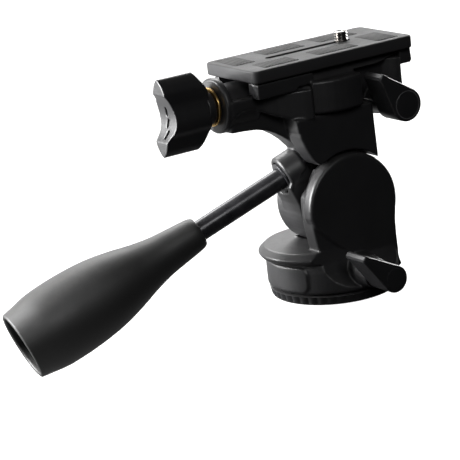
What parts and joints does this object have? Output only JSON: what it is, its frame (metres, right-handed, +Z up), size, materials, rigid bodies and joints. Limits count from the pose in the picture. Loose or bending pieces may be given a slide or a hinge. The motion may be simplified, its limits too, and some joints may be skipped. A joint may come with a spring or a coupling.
{
  "type": "three way pan tilt head",
  "caption": "Tripod head that pans, tilts and tilts to the side, with a twist handle, lock levers, a wing knob and a quick release plate.",
  "frame": {"origin": "middle of the flat underside of the base ring, on the pan axis, where the tripod's screw enters", "axes": "+X forward, the way the camera looks; +Y to the left, away from the two lock levers; +Z up along the pan axis"},
  "size_m": [0.1956, 0.0873, 0.1243],
  "materials": {
    "painted_casting": "black painted die casting, fine grain",
    "black_plastic": "black moulded plastic",
    "grip_plastic": "black moulded plastic, fine matt grain",
    "pad_rubber": "black rubber with fine ribs",
    "plate_plastic": "dark moulded plastic",
    "steel": "bright turned",
    "dark_steel": "blackened, satin",
    "brass": "turned",
    "friction_fibre": "dull pressed fibre"
  },
  "bodies": {
    "base": {"base_ring": "painted_casting", "tripod_thread_bush": "brass", "pan_spindle": "steel", "pan_friction_washer": "friction_fibre"},
    "pan_body": {"pan_housing": "painted_casting", "pan_retaining_ring": "steel", "pan_lock_shoe": "brass", "tilt_axle": "steel", "tilt_axle_washer": "steel", "tilt_axle_nut": "steel"},
    "pan_lock": {"pan_lock_lever": "black_plastic", "pan_lock_lever_cap": "black_plastic", "pan_lock_screw": "steel"},
    "tilt_body": {"tilt_neck": "painted_casting", "tilt_friction_washer": "friction_fibre", "handle_bush": "dark_steel", "neck_set_screw": "steel", "tilt_lock_shoe": "brass", "side_tilt_brass_washer": "brass"},
    "handle": {"handle_rod": "dark_steel", "handle_grip": "grip_plastic"},
    "side_knob": {"side_tilt_knob": "black_plastic", "side_tilt_knob_insert": "steel"},
    "platform": {"platform": "painted_casting", "side_tilt_shaft": "steel"},
    "release_lever": {"release_lever": "black_plastic", "release_lever_cap": "black_plastic", "release_lever_screw": "steel"},
    "front_jaw": {"front_jaw": "painted_casting"},
    "plate": {"release_plate": "plate_plastic", "plate_pad_back": "pad_rubber", "plate_pad_front": "pad_rubber", "plate_pad_left_back": "pad_rubber", "plate_pad_left_front": "pad_rubber", "plate_pad_right_back": "pad_rubber", "plate_pad_right_front": "pad_rubber"},
    "camera_screw": {"camera_screw": "steel"}
  },
  "joints": [
    {"name": "pan", "type": "hinge", "parent": "base", "child": "pan_body", "pos_m": [0, 0, 0.012], "axis": [0, 0, 1], "continuous": true},
    {"name": "pan_lock_turn", "type": "hinge", "parent": "pan_body", "child": "pan_lock", "pos_m": [0, -0.042, 0.0125], "axis": [0, 1, 0], "range_deg": [-40, 90]},
    {"name": "tilt", "type": "hinge", "parent": "pan_body", "child": "tilt_body", "pos_m": [0, 0, 0.042], "axis": [0, 1, 0], "range_deg": [-30, 70]},
    {"name": "handle_twist", "type": "hinge", "parent": "tilt_body", "child": "handle", "pos_m": [-0.0226, 0, 0.057], "axis": [-0.918, 0.163, -0.3616], "range_deg": [-180, 180]},
    {"name": "side_knob_turn", "type": "hinge", "parent": "tilt_body", "child": "side_knob", "pos_m": [-0.065, 0, 0.0965], "axis": [1, 0, 0], "range_deg": [-180, 180]},
    {"name": "side_tilt", "type": "hinge", "parent": "tilt_body", "child": "platform", "pos_m": [-0.02, 0, 0.0965], "axis": [1, 0, 0], "range_deg": [-90, 0]},
    {"name": "release_turn", "type": "hinge", "parent": "platform", "child": "release_lever", "pos_m": [0.0229, -0.031, 0.0856], "axis": [0, 1, 0], "range_deg": [0, 90]},
    {"name": "jaw_slide", "type": "slide", "parent": "platform", "child": "front_jaw", "axis": [1, 0, 0], "range_m": [0, 0.0025]},
    {"name": "plate_lift", "type": "slide", "parent": "platform", "child": "plate", "axis": [0, 0, 1], "range_m": [0, 0.02]},
    {"name": "camera_screw_turn", "type": "hinge", "parent": "plate", "child": "camera_screw", "pos_m": [0.0165, 0, 0.11], "axis": [0, 0, 1], "continuous": true}
  ],
  "couplings": [
    {"joint": "release_turn", "follows": "jaw_slide", "rad_per_m": 628.3}
  ]
}
